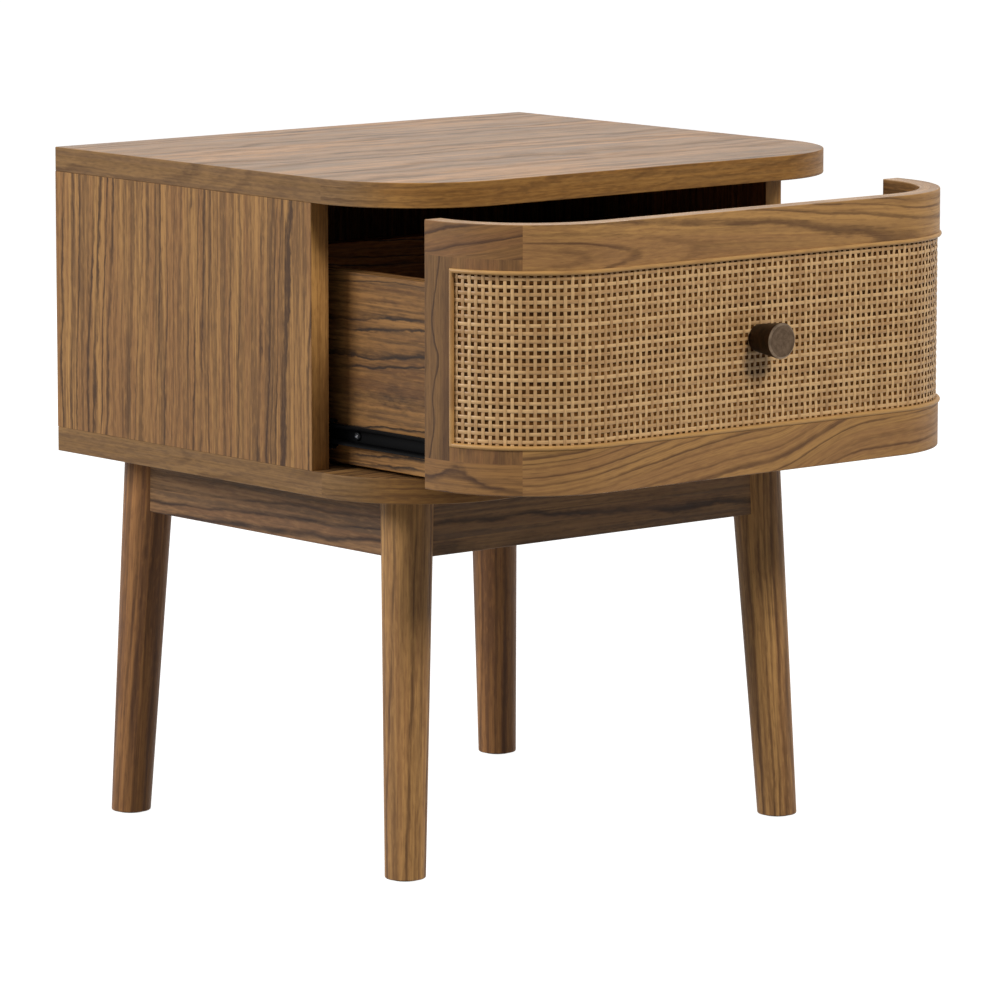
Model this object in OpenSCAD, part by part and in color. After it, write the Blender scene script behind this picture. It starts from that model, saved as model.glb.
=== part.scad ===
// Nightstand with one bow-cornered drawer on ball-bearing runners, caned front and splayed round legs.
// The case front faces -Y. The origin is on the floor, under the middle of the stand as it is stored.

/* [Case] */
// Width of the case
case_w = 450; // [400:1:560]
// Depth of the case
case_d = 400; // [370:1:480]
// Height from the floor to the top
stand_h = 500; // [440:1:620]
// Height of the case, legs left out
case_h = 226; // [200:1:280]
// Thickness of the top and of the bottom
slab_t = 18; // [15:0.5:25]
// Thickness of the side panels
side_t = 16; // [14:0.5:20]
// Radius of the two front corners
corner_r = 87; // [70:1:92]
// Distance from the case front to the side panels
side_setback = 98; // [95:1:110]
// Thickness of the back panel
back_t = 5; // [3:0.5:8]
// Distance from the rear edges to the back panel
back_inset = 8; // [5:0.5:12]
// Depth of the grooves that hold the back panel
back_groove = 6; // [4:0.5:8]
// Slip left round a panel in its groove
panel_slip = 0.2; // [0:0.05:0.5]

/* [Base] */
// Diameter of a leg under the case
leg_top_d = 38; // [32:0.5:44]
// Diameter of a leg at the floor
leg_foot_d = 29.4; // [22:0.1:36]
// Distance from the case side to a leg's centre, under the case
leg_in_side = 58.4; // [50:0.1:70]
// Distance from the case front to the front legs' centres, under the case
leg_in_front = 63.2; // [55:0.1:80]
// Distance from the case back to the rear legs' centres, under the case
leg_in_rear = 37; // [33:0.1:60]
// How far each foot stands out sideways from its leg's top
splay_side = 13.4; // [0:0.1:25]
// How far the front feet stand forward of their legs' tops
splay_front = 13.2; // [0:0.1:25]
// How far the rear feet stand back from their legs' tops
splay_rear = 10.4; // [0:0.1:20]
// Height of the rails
rail_h = 45; // [38:1:60]
// Thickness of the rails
rail_t = 18; // [15:0.5:20]
// How far a rail's outer face lies outside the leg centres
rail_out = 11.7; // [9:0.1:13]
// Thickness of the rail tenons
tenon_t = 9; // [6:0.5:10]
// Shoulder above and below a tenon
tenon_shoulder = 8; // [4:0.5:10]
// Distance from a leg's centre at which the tenons stop
tenon_stop = 9; // [8:0.5:11]
// Height of the corner blocks
block_h = 30; // [26:1:36]
// Thickness of the corner blocks
block_t = 18; // [14:0.5:24]
// Clear distance from the rails' inner corner to a corner block
block_gap = 14; // [12:0.5:20]
// Spacing of the two upright screws in a corner block
block_screw_gap = 32; // [26:1:36]
// Diameter of the bolts that draw the legs in
bolt_d = 6; // [5:0.5:8]
// Depth to which a bolt enters its leg
bolt_in_leg = 22; // [15:1:26]
// Diameter of the floor glides
glide_d = 20; // [16:0.5:22]
// Thickness of a glide's disc
glide_t = 3; // [2:0.5:4]
// How far a glide stands out of the foot
glide_proud = 1; // [0.5:0.1:2]
// Diameter of a glide's pin
glide_pin_d = 5; // [4:0.5:6]
// Length of a glide's pin
glide_pin_l = 12; // [8:1:16]

/* [Drawer] */
// How far the drawer stands open as stored
drawer_open = 123; // [0:1:180]
// Thickness of the bent drawer front
front_t = 15; // [12:0.5:18]
// Gap above and below the drawer front
reveal = 1.5; // [1:0.1:4]
// Gap between the closed drawer front and the side panels
return_gap = 1.5; // [1:0.1:3]
// Thickness of the drawer's sides and back
box_t = 15; // [12:0.5:16]
// Height of the drawer's sides and back
box_h = 137; // [100:1:150]
// Gap under the drawer's sides
box_lift = 3; // [2:0.5:6]
// Gap between the drawer's back and the back panel
box_rear_gap = 9; // [4:0.5:20]
// Thickness of the drawer's bottom
floor_t = 5; // [3:0.5:6]
// Height of the drawer's bottom above the lower edge of its sides
floor_lift = 8; // [6:0.5:10]
// Depth of the grooves that hold the drawer's bottom
floor_groove = 6; // [4:0.5:8]

/* [Cane] */
// Height of the caned window, between the reeds' centres
window_h = 120.6; // [80:0.1:140]
// Angle round each corner at which the window ends, from the drawer's side
window_end = 11.5; // [5:0.5:40]
// Depth of the cane's recess
recess = 2.6; // [2:0.1:4]
// Thickness of the cane webbing
cane_t = 1.2; // [0.8:0.1:1.5]
// Width of the half-round reed round the window
reed_w = 3.6; // [3:0.1:5]
// How far the reed stands out of the wood
reed_proud = 1.4; // [0.8:0.1:1.8]
// Gap left in the reed's mitres
mitre_gap = 0.1; // [0.05:0.05:0.5]

/* [Knob] */
// Diameter of the knob's face
knob_d = 25.2; // [20:0.1:32]
// Diameter of the knob's foot
knob_foot_d = 19.4; // [14:0.1:24]
// Length of the knob
knob_l = 25; // [18:0.5:32]
// Width of the bevel round the knob's face
knob_bevel = 1.2; // [0.5:0.1:2]
// Height of the knob above the middle of the drawer front
knob_up = 2.5; // [0:0.5:20]
// Diameter of the knob's screw
knob_screw_d = 4; // [3:0.5:5]

/* [Runners] */
// Length of each runner member
runner_l = 250; // [230:5:270]
// Width of the gap that a runner fills between the case and the drawer
runner_gap = 12; // [11.5:0.1:13]
// Distance from a side panel's front edge to its runner
runner_setback = 2; // [1:0.5:5]
// Height of the runners' centre line above the lower edge of the drawer's sides
runner_up = 21.5; // [20:0.5:40]
// Sheet thickness of the runner members
sheet_t = 1; // [0.8:0.1:1.1]
// Diameter of the balls
ball_d = 4; // [3.4:0.1:4.2]
// Running clearance between a ball and its races
ball_play = 0.05; // [0.02:0.01:0.08]
// Height of each row of balls above or below the centre line
ball_row = 7.4; // [7:0.1:9]
// Number of balls in a row
balls = 5; // [3:1:5]
// Spacing of the balls
ball_pitch = 11.5; // [9:0.5:11.5]
// Gap from a ball row's middle to the lips of the members
lip_gap = 0.65; // [0.6:0.05:0.8]
// Sheet thickness of the ball cages
cage_t = 0.6; // [0.5:0.05:0.6]
// Gap between a cage and the case member's web
cage_gap = 0.5; // [0.4:0.05:0.6]
// Length of a cage past its last balls
cage_end = 2; // [1:0.5:4]
// Slip of the balls in their cage
cage_slip = 0.2; // [0.1:0.05:0.3]
// Distance from a member's end to the bent-in tab that stops the cage
stop_in = 4; // [2:0.5:8]
// Height of the tabs
stop_h = 6; // [4:0.5:7]
// Gap left between a tab and the cage at the end of the travel
stop_gap = 1; // [0.5:0.1:2]

/* [Fasteners] */
// Diameter of the case dowels
dowel_d = 8; // [6:1:8]
// Length of a case dowel in the side panel, and its length in the top or bottom
dowel_l = [18, 12];
// Distance from a side panel's front edge to its first dowels
dowel_in_front = 30; // [15:1:50]
// Distance from the case back to the rear dowels
dowel_in_rear = 60; // [30:1:90]
// Diameter of the drawer dowels
box_dowel_d = 6; // [5:0.5:8]
// Length of the drawer dowels
box_dowel_l = 30; // [24:1:36]
// Length of a drawer dowel inside the bent front
box_dowel_in = 9; // [6:0.5:10]
// Diameter of the wood screws
screw_d = 3.5; // [3:0.1:4]
// Diameter of the wood screws' heads
screw_head_d = 6.4; // [6:0.1:7]
// Distance of a runner's front screw from its front end
screw_front = 12; // [10:1:20]
// Distance of a runner's middle screw from its front end
screw_mid = 102; // [60:1:140]
// Distance of a runner's rear screw from its rear end
screw_rear = 24; // [20:1:40]
// How far a runner screw stops short of the panel's other face
screw_short = 2; // [1:0.5:4]
// Length of a corner block's screws inside the bottom panel
block_screw_in = 12; // [8:0.5:14]
// Slip of bolts and of the knob's screw in their clearance holes
hole_slip = 0.6; // [0.4:0.1:1]
// Length of a bolt past its corner block
bolt_proud = 9; // [7:0.5:14]

/* [Hidden] */
$fn = 64;
cut = 1;

walnut = "#7d5a3a";
dark_walnut = "#5a3f2a";
steel_black = "#1d1f22";
zinc = "#b9bcc0";
honey = "#c79a63";
beech = "#c8a878";
bronze = "#5b4a38";

// The drawer travels until its cages meet their stops
cage_l = (balls - 1) * ball_pitch + ball_d + 2 * cage_end;
travel = runner_l - cage_l - 2 * (stop_in + sheet_t + stop_gap);
open = min(drawer_open, travel);

half_w = case_w / 2;
knob_reach = knob_l - recess + cane_t;
front_y = (open + knob_reach - case_d) / 2;
back_y = front_y + case_d;
case_z = stand_h - case_h;
bay_z = case_z + slab_t;
roof_z = stand_h - slab_t;
bay_h = roof_z - bay_z;
side_y = front_y + side_setback;
back_panel_y = back_y - back_inset - back_t;
arc_x = half_w - corner_r;

leg_x = half_w - leg_in_side;
leg_front_y = front_y + leg_in_front;
leg_rear_y = back_y - leg_in_rear;
leg_h = case_z - glide_proud;
rail_z = case_z - rail_h;
rail_in = rail_t - rail_out;

front_z = bay_z + reveal;
front_h = bay_h - 2 * reveal;
mid_z = front_z + front_h / 2;
window_z = mid_z - window_h / 2;
return_depth = side_setback - return_gap;
box_z = bay_z + box_lift;
box_x = half_w - side_t - runner_gap;
box_in_x = box_x - box_t;
box_rear_y = back_panel_y - box_rear_gap;
floor_z = box_z + floor_lift;
knob_y = front_y + recess - cane_t;
knob_z = mid_z + knob_up;

runner_x = -half_w + side_t;
runner_y = side_y + runner_setback;
runner_z = box_z + runner_up;
race_r = ball_d / 2 + ball_play;
ball_s = (runner_gap + sheet_t) / 2;
member_half = ball_row + race_r + sheet_t;
cage_s = sheet_t + cage_gap;
screw_spots = [screw_front, screw_mid, runner_l - screw_rear];

// ---- Shapes that several pieces share ----

// The case's plan, moved in from its outline and cut off at a depth behind the front
module bow_plan(inset, depth) {
    translate([0, front_y])
        intersection() {
            union() {
                translate([inset - half_w, corner_r])
                    square([case_w - 2 * inset, case_d]);
                translate([-arc_x, inset])
                    square([2 * arc_x, corner_r]);
                for (side = [-1, 1])
                    translate([side * arc_x, corner_r])
                        circle(corner_r - inset);
            }
            translate([-half_w - cut, -cut])
                square([case_w + 2 * cut, depth + cut]);
        }
}

module bow(inset, depth, h) {
    linear_extrude(h)
        bow_plan(inset, depth);
}

// Everything that moves with the drawer is drawn closed and slid out by this
module slid(share = 1) {
    translate([0, -open * share, 0])
        children();
}

module both_sides() {
    children();
    mirror([1, 0, 0])
        children();
}

module rod(d, h) {
    cylinder(d = d, h = h);
}

// ---- Case ----

module back_blank(slip = 0) {
    w = case_w - 2 * side_t + 2 * back_groove;
    translate([-w / 2 - slip, back_panel_y - slip, bay_z - back_groove])
        cube([w + 2 * slip, back_t + slip, bay_h + 2 * back_groove + slip]);
}

module dowels_left() {
    for (y = [side_y + dowel_in_front, back_y - dowel_in_rear], end = [0, 1])
        translate([side_t / 2 - half_w, y, end == 0 ? bay_z - dowel_l[1] : roof_z - dowel_l[0]])
            rod(dowel_d, dowel_l[0] + dowel_l[1]);
}

module case_dowels() {
    color(beech)
        both_sides()
            dowels_left();
}

module top_panel() {
    color(walnut)
        difference() {
            translate([0, 0, roof_z])
                bow(0, case_d, slab_t);
            back_blank(panel_slip);
            both_sides()
                dowels_left();
        }
}

module bottom_panel() {
    color(walnut)
        difference() {
            translate([0, 0, case_z])
                bow(0, case_d, slab_t);
            back_blank(panel_slip);
            both_sides()
                dowels_left();
            base_screws_all();
        }
}

module side_panel_left() {
    color(walnut)
        difference() {
            translate([-half_w, side_y, bay_z])
                cube([side_t, back_y - side_y, bay_h]);
            back_blank(panel_slip);
            dowels_left();
            case_screws_left();
        }
}

module side_panel_right() {
    mirror([1, 0, 0])
        side_panel_left();
}

module back_panel() {
    color(dark_walnut)
        back_blank();
}

// ---- Base ----

// A leg before it is mortised: a tapered bar on its leaning axis, trimmed level at the foot and under the case
module leg_blank(top, foot) {
    lean = top - foot;
    bar = norm([lean.x, lean.y, leg_h]);
    taper = (leg_top_d - leg_foot_d) / 2 / bar;
    spare = 12;
    intersection() {
        translate([foot.x, foot.y, glide_proud])
            rotate([0, atan2(norm(lean), leg_h), atan2(lean.y, lean.x)])
                rotate([0, 0, 180])
                    translate([0, 0, -spare])
                        cylinder(
                            r1 = leg_foot_d / 2 - taper * spare,
                            r2 = leg_top_d / 2 + taper * spare,
                            h = bar + 2 * spare
                        );
        translate([foot.x - leg_top_d * 2, foot.y - leg_top_d * 2, glide_proud])
            cube([leg_top_d * 4, leg_top_d * 4, leg_h]);
    }
}

front_top = [-leg_x, leg_front_y];
front_foot = [-leg_x - splay_side, leg_front_y - splay_front];
rear_top = [-leg_x, leg_rear_y];
rear_foot = [-leg_x - splay_side, leg_rear_y + splay_rear];

module leg_blanks() {
    both_sides() {
        leg_blank(front_top, front_foot);
        leg_blank(rear_top, rear_foot);
    }
}

module glide_at(foot) {
    translate([foot.x, foot.y, 0]) {
        rod(glide_d, glide_t);
        rod(glide_pin_d, glide_t + glide_pin_l);
    }
}

module leg(top, foot, corner_y) {
    color(dark_walnut)
        difference() {
            leg_blank(top, foot);
            tenon_across(leg_front_y, -1);
            tenon_across(leg_rear_y, 1);
            tenon_along();
            glide_at(foot);
            bolt_at(corner_y);
        }
}

module leg_front_left() {
    leg(front_top, front_foot, 1);
}

module leg_front_right() {
    mirror([1, 0, 0])
        leg_front_left();
}

module leg_rear_left() {
    leg(rear_top, rear_foot, -1);
}

module leg_rear_right() {
    mirror([1, 0, 0])
        leg_rear_left();
}

module foot_glides() {
    color("#3a3430")
        both_sides() {
            glide_at(front_foot);
            glide_at(rear_foot);
        }
}

// Rails that run across the stand; out is -1 at the front and 1 at the rear
module rail_across(y, out) {
    difference() {
        translate([-leg_x, out < 0 ? y - rail_out : y - rail_in, rail_z])
            cube([2 * leg_x, rail_t, rail_h]);
        leg_blanks();
    }
    tenon_across(y, out);
}

module tenon_across(y, out) {
    reach = leg_x - tenon_stop;
    mid = y + out * (rail_out - rail_t / 2);
    translate([-reach, mid - tenon_t / 2, rail_z + tenon_shoulder])
        cube([2 * reach, tenon_t, rail_h - 2 * tenon_shoulder]);
}

module tenon_along() {
    mid = -leg_x - rail_out + rail_t / 2;
    translate([mid - tenon_t / 2, leg_front_y + tenon_stop, rail_z + tenon_shoulder])
        cube([tenon_t, leg_rear_y - leg_front_y - 2 * tenon_stop, rail_h - 2 * tenon_shoulder]);
}

module front_rail() {
    color(dark_walnut)
        rail_across(leg_front_y, -1);
}

module rear_rail() {
    color(dark_walnut)
        rail_across(leg_rear_y, 1);
}

module left_rail() {
    color(dark_walnut) {
        difference() {
            translate([-leg_x - rail_out, leg_front_y, rail_z])
                cube([rail_t, leg_rear_y - leg_front_y, rail_h]);
            leg_blanks();
        }
        tenon_along();
    }
}

module right_rail() {
    mirror([1, 0, 0])
        left_rail();
}

// Puts its children in the left front (1) or left rear (-1) inner corner of the rails, X along the left rail's
// normal and Y along the other rail's
module in_corner(end) {
    y = end > 0 ? leg_front_y + rail_in : leg_rear_y - rail_in;
    translate([-leg_x + rail_in, y, 0])
        mirror([0, end > 0 ? 0 : 1, 0])
            children();
}

module block_blank() {
    near = block_gap * sqrt(2);
    far = (block_gap + block_t) * sqrt(2);
    translate([0, 0, case_z - block_h])
        linear_extrude(block_h)
            polygon([[near, 0], [far, 0], [0, far], [0, near]]);
}

// The bolt's line runs through the leg's centre and squarely through the corner block
module bolt_line(from, d, h) {
    translate([0, 0, case_z - block_h / 2])
        rotate([0, 0, 45])
            translate([from, 0, 0])
                rotate([0, 90, 0])
                    rod(d, h);
}

leg_face = leg_top_d / 2 - rail_in * sqrt(2);
bolt_end = block_gap + block_t + bolt_proud;

module bolt_at(end, grow = 0) {
    in_corner(end)
        bolt_line(leg_face - bolt_in_leg, bolt_d + grow, bolt_end - leg_face + bolt_in_leg);
}

module block_screws_at(end) {
    in_corner(end)
        rotate([0, 0, 45])
            for (side = [-1, 1])
                translate([block_gap + block_t / 2, side * block_screw_gap / 2, case_z - block_h])
                    wood_screw(block_h + block_screw_in);
}

// A countersunk screw that points up from its head
module wood_screw(l) {
    head_h = (screw_head_d - screw_d) / 2;
    cylinder(d1 = screw_head_d, d2 = screw_d, h = head_h);
    rod(screw_d, l);
}

module base_screws_all() {
    both_sides() {
        block_screws_at(1);
        block_screws_at(-1);
    }
}

module corner_blocks() {
    color(beech)
        both_sides()
            for (end = [1, -1])
                difference() {
                    in_corner(end)
                        block_blank();
                    bolt_at(end, hole_slip);
                    block_screws_at(end);
                }
}

module leg_bolts() {
    color(zinc)
        both_sides()
            for (end = [1, -1])
                bolt_at(end);
}

module leg_nuts() {
    flange_t = 1.5;
    nut_t = 5;
    color(zinc)
        both_sides()
            for (end = [1, -1])
                in_corner(end)
                    difference() {
                        union() {
                            bolt_line(block_gap + block_t, bolt_d * 2.2, flange_t);
                            translate([0, 0, case_z - block_h / 2])
                                rotate([0, 0, 45])
                                    translate([block_gap + block_t, 0, 0])
                                        rotate([0, 90, 0])
                                            cylinder(d = bolt_d * 1.9, h = nut_t, $fn = 6);
                        }
                        bolt_line(block_gap, bolt_d, block_t * 2);
                    }
}

module base_screws() {
    color(zinc)
        base_screws_all();
}

// ---- Runners ----

// Members, cages and balls are drawn for the left side: X leads from the side panel to the drawer
module along_runner(from, l) {
    translate([runner_x, runner_y + from + l, runner_z])
        rotate([90, 0, 0])
            linear_extrude(l)
                children();
}

// The half of a formed race that lies above (1) or below (-1) the lips of the other member
module race_half(out) {
    r = race_r + sheet_t;
    translate([ball_s, ball_row])
        difference() {
            circle(r);
            circle(race_r);
            translate([-r - cut, out > 0 ? lip_gap - 2 * r : -lip_gap])
                square([2 * r + 2 * cut, 2 * r]);
        }
}

module case_member_profile() {
    translate([0, -member_half])
        square([sheet_t, 2 * member_half]);
    for (side = [0, 1])
        mirror([0, side]) {
            race_half(1);
            translate([0, member_half - sheet_t])
                square([ball_s, sheet_t]);
        }
}

module drawer_member_profile() {
    web_half = ball_row - race_r;
    translate([runner_gap - sheet_t, -web_half])
        square([sheet_t, 2 * web_half]);
    for (side = [0, 1])
        mirror([0, side]) {
            race_half(-1);
            translate([ball_s, web_half - sheet_t])
                square([runner_gap - ball_s, sheet_t]);
        }
}

module case_runner_left() {
    color(steel_black)
        difference() {
            union() {
                along_runner(0, runner_l)
                    case_member_profile();
                along_runner(stop_in, sheet_t)
                    translate([0, -stop_h / 2])
                        square([cage_s + 2 * cage_t, stop_h]);
            }
            case_screws_left();
        }
}

module case_runner_right() {
    mirror([1, 0, 0])
        case_runner_left();
}

module drawer_runner_left() {
    color(steel_black)
        slid()
            difference() {
                union() {
                    along_runner(0, runner_l)
                        drawer_member_profile();
                    along_runner(runner_l - stop_in - sheet_t, sheet_t)
                        translate([cage_s, -stop_h / 2])
                            square([runner_gap - cage_s, stop_h]);
                }
                drawer_screws_left();
            }
}

module drawer_runner_right() {
    mirror([1, 0, 0])
        drawer_runner_left();
}

// Closed, a cage lies half way along its runner
module at_balls() {
    for (i = [0 : balls - 1], row = [-1, 1])
        translate([
            runner_x + ball_s,
            runner_y + runner_l / 2 + (i - (balls - 1) / 2) * ball_pitch,
            runner_z + row * ball_row,
        ])
            children();
}

module ball_cage_left() {
    color(zinc)
        slid(0.5)
            difference() {
                along_runner((runner_l - cage_l) / 2, cage_l) {
                    translate([cage_s, -ball_row])
                        square([cage_t, 2 * ball_row]);
                    for (row = [-1, 1])
                        translate([cage_s, row * ball_row - cage_t / 2])
                            square([ball_s + race_r + sheet_t - cage_s, cage_t]);
                }
                at_balls()
                    translate([0, 0, -cut])
                        rod(ball_d + cage_slip, 2 * cut);
            }
}

module ball_cage_right() {
    mirror([1, 0, 0])
        ball_cage_left();
}

module runner_balls_left() {
    color("silver")
        slid(0.5)
            at_balls()
                sphere(d = ball_d, $fn = 24);
}

module runner_balls_right() {
    mirror([1, 0, 0])
        runner_balls_left();
}

module case_screws_left() {
    for (spot = screw_spots)
        translate([runner_x + sheet_t, runner_y + spot, runner_z])
            rotate([0, -90, 0])
                wood_screw(side_t - screw_short);
}

module case_runner_screws() {
    color(zinc)
        both_sides()
            case_screws_left();
}

// Pan heads, which stand proud in the drawer member's channel
module drawer_screws_left() {
    head_h = 1.8;
    for (spot = screw_spots)
        translate([runner_x + runner_gap - sheet_t, runner_y + spot, runner_z])
            rotate([0, 90, 0]) {
                translate([0, 0, -head_h])
                    rod(screw_head_d, head_h);
                rod(screw_d, box_t - screw_short);
            }
}

module drawer_runner_screws() {
    color(zinc)
        slid()
            both_sides()
                drawer_screws_left();
}

// ---- Drawer ----

// The part of the plan that the window covers: the straight front and the corners, past the reed's middle by `grow`
module window_fan(grow) {
    far = 2 * corner_r;
    end = window_end - atan(grow / corner_r);
    x = arc_x + far * cos(end);
    y = front_y + corner_r;
    polygon([
        [-arc_x, y],
        [-x, y - far * sin(end)],
        [-x, y - far],
        [x, y - far],
        [x, y - far * sin(end)],
        [arc_x, y],
    ]);
}

// A curved sheet in the window, from one depth under the drawer's face to another
module window_sheet(near, deep, grow) {
    translate([0, 0, window_z - grow])
        linear_extrude(window_h + 2 * grow)
            intersection() {
                difference() {
                    bow_plan(near, return_depth);
                    bow_plan(deep, return_depth + cut);
                }
                window_fan(grow);
            }
}

// Half-round reed, flat side on the cane: X points out of the drawer's face, from the corner's centre
module reed_section() {
    r = reed_w / 2;
    seat = corner_r - recess + cane_t;
    crest = corner_r + reed_proud;
    translate([seat, -r])
        square([crest - r - seat, reed_w]);
    intersection() {
        translate([crest - r, 0])
            circle(r);
        translate([crest - r, -r])
            square([r, reed_w]);
    }
}

// Stands its children at the left end of the window, X along the radius there
module at_window_end() {
    translate([-arc_x, front_y + corner_r, 0])
        rotate([0, 0, 180 + window_end])
            children();
}

// One length of reed that follows the drawer's face, mitred to the upright reeds; up is 1 for the top one
module reed_along(up) {
    z = up > 0 ? window_z + window_h : window_z;
    spare = 5; // degrees past the window's end, for the mitre to cut
    difference() {
        translate([0, 0, z]) {
            translate([-arc_x, front_y + corner_r, 0])
                rotate([90, 0, 90])
                    linear_extrude(2 * arc_x)
                        rotate(180)
                            reed_section();
            both_sides()
                translate([-arc_x, front_y + corner_r, 0])
                    rotate([0, 0, 180 + window_end - spare])
                        rotate_extrude(angle = 90 - window_end + spare)
                            reed_section();
        }
        both_sides()
            mitre_waste(z, up);
    }
}

module mitre_waste(z, up) {
    far = 3 * reed_w;
    at_window_end()
        translate([corner_r, 0, z])
            rotate([up > 0 ? 45 : -45, 0, 0])
                translate([-far, -far - mitre_gap / 2, -far])
                    cube([2 * far, far, 2 * far]);
}

module reed_upright() {
    intersection() {
        at_window_end()
            translate([0, 0, window_z - reed_w])
                linear_extrude(window_h + 2 * reed_w)
                    reed_section();
        upright_keep();
    }
}

// The part of the upright reed between its two mitres
module upright_keep() {
    h = window_h - mitre_gap;
    far = 3 * reed_w;
    at_window_end()
        translate([corner_r - far, 0, window_z + window_h / 2])
            rotate([0, 90, 0])
                linear_extrude(2 * far)
                    polygon([
                        [-h / 2 + reed_w, reed_w],
                        [-h / 2 - reed_w, -reed_w],
                        [h / 2 + reed_w, -reed_w],
                        [h / 2 - reed_w, reed_w],
                    ]);
}

module drawer_front() {
    color(walnut)
        slid()
            difference() {
                translate([0, 0, front_z])
                    linear_extrude(front_h)
                        difference() {
                            bow_plan(0, return_depth);
                            bow_plan(front_t, return_depth + cut);
                        }
                window_sheet(-cut, recess, reed_w / 2);
                floor_blank(panel_slip);
                front_dowels_left();
                mirror([1, 0, 0])
                    front_dowels_left();
                knob_screw_blank(hole_slip);
            }
}

module cane_webbing() {
    color(honey)
        slid()
            difference() {
                window_sheet(recess - cane_t, recess, reed_w / 2);
                knob_screw_blank(hole_slip);
            }
}

module reed_border() {
    color("#b98750")
        slid() {
            reed_along(1);
            reed_along(-1);
            both_sides()
                reed_upright();
        }
}

module box_blank(x, y, w, d) {
    translate([x, y, box_z])
        cube([w, d, box_h]);
}

module drawer_side_left() {
    color(walnut)
        slid()
            difference() {
                intersection() {
                    box_blank(-box_x, front_y, box_t, box_rear_y - front_y);
                    translate([0, 0, box_z])
                        bow(front_t, case_d, box_h);
                }
                floor_blank(panel_slip);
                front_dowels_left();
                rear_dowels_left();
                drawer_screws_left();
            }
}

module drawer_side_right() {
    mirror([1, 0, 0])
        drawer_side_left();
}

module drawer_back() {
    color(walnut)
        slid()
            difference() {
                box_blank(-box_in_x, box_rear_y - box_t, 2 * box_in_x, box_t);
                floor_blank(panel_slip);
                both_sides()
                    rear_dowels_left();
            }
}

// The bottom follows the bent front in plan and sits in a groove all round
module floor_blank(slip = 0) {
    x = box_in_x + floor_groove + slip;
    translate([0, 0, floor_z])
        linear_extrude(floor_t + slip)
            intersection() {
                bow_plan(front_t - floor_groove - slip, case_d);
                translate([-x, front_y])
                    square([2 * x, box_rear_y - box_t + floor_groove + slip - front_y]);
            }
}

module drawer_bottom() {
    color(beech)
        slid()
            floor_blank();
}

module front_dowels_left() {
    x = box_x - box_t / 2;
    inner = corner_r - front_t;
    y = front_y + corner_r - sqrt(pow(inner, 2) - pow(x - arc_x, 2));
    for (share = [0.25, 0.5, 0.75])
        translate([-x, y - box_dowel_in, box_z + share * box_h])
            rotate([-90, 0, 0])
                rod(box_dowel_d, box_dowel_l);
}

module rear_dowels_left() {
    for (share = [0.25, 0.75])
        translate([-box_x + box_t / 3, box_rear_y - box_t / 2, box_z + share * box_h])
            rotate([0, 90, 0])
                rod(box_dowel_d, box_dowel_l);
}

module drawer_dowels() {
    color(beech)
        slid()
            both_sides() {
                front_dowels_left();
                rear_dowels_left();
            }
}

module knob() {
    r = knob_d / 2;
    foot_r = knob_foot_d / 2;
    color(bronze)
        slid()
            translate([0, knob_y, knob_z])
                rotate([90, 0, 0])
                    difference() {
                        rotate_extrude()
                            polygon([
                                [0, 0],
                                [foot_r, 0],
                                [r, knob_l - 2 * knob_bevel],
                                [r, knob_l - knob_bevel],
                                [r - knob_bevel, knob_l],
                                [0, knob_l],
                            ]);
                        translate([0, 0, -cut])
                            rod(knob_screw_d, cut + knob_l / 2);
                    }
}

module knob_screw_blank(grow = 0) {
    inner_y = front_y + front_t;
    translate([0, inner_y, knob_z])
        rotate([90, 0, 0])
            rod(knob_screw_d + grow, inner_y - knob_y + (grow > 0 ? cut : knob_l / 2));
}

module knob_screw() {
    head_h = 2.6;
    color(zinc)
        slid() {
            knob_screw_blank();
            translate([0, front_y + front_t + head_h, knob_z])
                rotate([90, 0, 0])
                    rod(knob_screw_d * 2, head_h);
        }
}

top_panel();
bottom_panel();
side_panel_left();
side_panel_right();
back_panel();
case_dowels();
front_rail();
rear_rail();
left_rail();
right_rail();
leg_front_left();
leg_front_right();
leg_rear_left();
leg_rear_right();
corner_blocks();
leg_bolts();
leg_nuts();
base_screws();
foot_glides();
case_runner_left();
case_runner_right();
case_runner_screws();
ball_cage_left();
ball_cage_right();
runner_balls_left();
runner_balls_right();
drawer_runner_left();
drawer_runner_right();
drawer_runner_screws();
drawer_front();
cane_webbing();
reed_border();
knob();
knob_screw();
drawer_side_left();
drawer_side_right();
drawer_back();
drawer_bottom();
drawer_dowels();
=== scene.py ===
import math
import random

import bpy
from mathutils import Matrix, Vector


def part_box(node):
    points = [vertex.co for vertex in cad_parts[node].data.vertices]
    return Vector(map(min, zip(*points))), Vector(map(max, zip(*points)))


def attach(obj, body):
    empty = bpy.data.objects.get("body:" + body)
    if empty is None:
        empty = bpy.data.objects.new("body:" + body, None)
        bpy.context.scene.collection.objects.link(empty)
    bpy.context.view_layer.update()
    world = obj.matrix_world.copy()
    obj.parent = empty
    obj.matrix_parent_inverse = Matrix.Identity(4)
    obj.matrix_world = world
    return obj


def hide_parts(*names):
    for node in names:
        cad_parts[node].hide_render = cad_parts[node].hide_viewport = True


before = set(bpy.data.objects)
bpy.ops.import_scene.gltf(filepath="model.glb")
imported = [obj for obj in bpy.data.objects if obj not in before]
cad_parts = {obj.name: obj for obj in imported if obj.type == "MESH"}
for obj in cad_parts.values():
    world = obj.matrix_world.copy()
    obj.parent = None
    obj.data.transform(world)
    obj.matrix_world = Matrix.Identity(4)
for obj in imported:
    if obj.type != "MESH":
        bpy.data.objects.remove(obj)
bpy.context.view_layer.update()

mm = 0.001
print("frame loaded:", len(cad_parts), "nodes")


# camera, lights and floor

cameraSetup = {
    "place": (-2.98, -3.4796, 0.936),
    "yaw": 40.329,
    "pitch": 8.568,
    "lens": 227.31,
    "sensor": 36,
    "farthest": 100,
}

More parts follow.
